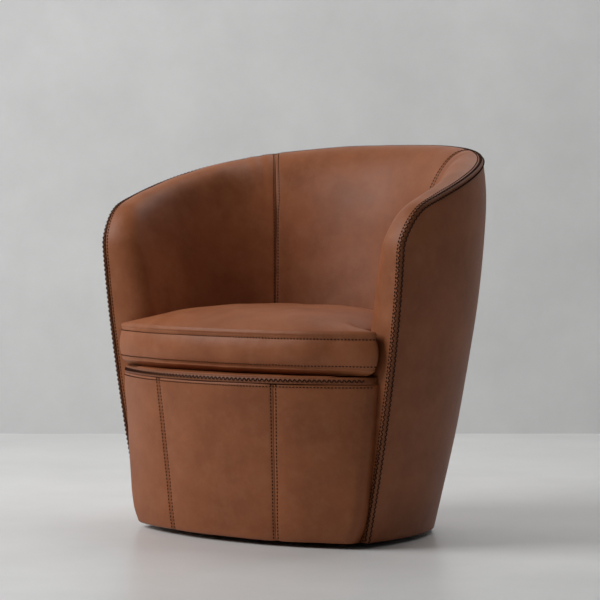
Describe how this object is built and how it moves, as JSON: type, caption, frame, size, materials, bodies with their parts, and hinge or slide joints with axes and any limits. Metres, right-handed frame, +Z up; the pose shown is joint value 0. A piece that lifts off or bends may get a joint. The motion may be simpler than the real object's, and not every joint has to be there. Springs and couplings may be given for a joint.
{
  "type": "swivel club chair",
  "caption": "Barrel-shaped leather club chair with a sloping rim, loose crowned seat cushion and a hidden swivel base.",
  "frame": {"origin": "on the floor, under the middle of the chair's bounding box, at rest", "axes": "+Z up, the sitter faces -Y, +X is the sitter's left"},
  "size_m": [0.7594, 0.6128, 0.7599],
  "materials": {
    "black_plinth": "black lacquer, satin",
    "foam": "cut upholstery foam",
    "frame_wood": "planed hardwood and plywood",
    "glide_plastic": "black nylon",
    "leather": "smooth semi-aniline leather, cognac brown, satin",
    "lining_cloth": "black woven lining",
    "plywood": "bent plywood, sanded",
    "retainer_plastic": "natural nylon",
    "steel": "zinc-plated steel",
    "wadding": "bonded polyester wadding",
    "webbing": "elastic webbing",
    "zip_metal": "antique brass zip slider",
    "zip_tape": "brown zip tape with coil teeth"
  },
  "bodies": {
    "base": {"floor_glides": "glide_plastic", "plinth": "black_plinth", "lower_bearing_plate": "steel", "plinth_screws": "steel", "pivot_bolt": "steel", "pivot_washer": "steel", "pivot_nut": "steel"},
    "ball_cage": {"bearing_balls": "steel", "ball_retainer": "retainer_plastic"},
    "chair": {"arm_front_foams": "foam", "arm_front_leather_left": "leather", "arm_front_leather_right": "leather", "back_rib": "frame_wood", "back_webbing": "webbing", "bottom_ring": "frame_wood", "cross_rails": "frame_wood", "deck_cloth": "lining_cloth", "deck_pad": "foam", "dust_cover": "lining_cloth", "frame_screws": "steel", "front_band": "leather", "front_board": "plywood", "front_foam": "foam", "front_leather_centre": "leather", "front_leather_left": "leather", "front_leather_right": "leather", "front_lip_foam": "foam", "front_lip_leather": "leather", "front_posts": "frame_wood", "inside_foam_back": "foam", "inside_foam_left": "foam", "inside_foam_right": "foam", "inside_leather_back": "leather", "inside_leather_left": "leather", "inside_leather_right": "leather", "mounting_bolts": "steel", "outside_leather_back": "leather", "outside_leather_left": "leather", "outside_leather_right": "leather", "quarter_ribs": "frame_wood", "seat_blocks": "frame_wood", "seat_frame": "frame_wood", "seat_springs": "steel", "shell_board_back": "plywood", "shell_board_left": "plywood", "shell_board_right": "plywood", "shell_wadding": "wadding", "side_ribs": "frame_wood", "spring_clips": "steel", "spring_cloth": "lining_cloth", "top_rails": "frame_wood", "upper_bearing_plate": "steel"},
    "cushion": {"cushion_foam": "foam", "cushion_top_cover": "leather", "cushion_boxing": "leather", "cushion_bottom_cover": "leather", "cushion_zip": "zip_tape"},
    "zip_slider": {"zip_slider": "zip_metal"}
  },
  "joints": [
    {"name": "swivel", "type": "hinge", "parent": "base", "child": "chair", "pos_m": [0, -0.024, 0.04], "axis": [0, 0, 1], "continuous": true},
    {"name": "cage_spin", "type": "hinge", "parent": "base", "child": "ball_cage", "pos_m": [0, -0.024, 0.04], "axis": [0, 0, 1], "continuous": true},
    {"name": "cushion_lift", "type": "slide", "parent": "chair", "child": "cushion", "axis": [0, 0, 1], "range_m": [0, 0.25]},
    {"name": "zip_slide", "type": "hinge", "parent": "cushion", "child": "zip_slider", "pos_m": [0, -0.13957, 0.364], "axis": [0, 0, 1], "range_deg": [0, 55.66]}
  ],
  "couplings": [
    {"joint": "cage_spin", "follows": "swivel", "ratio": 0.5}
  ]
}
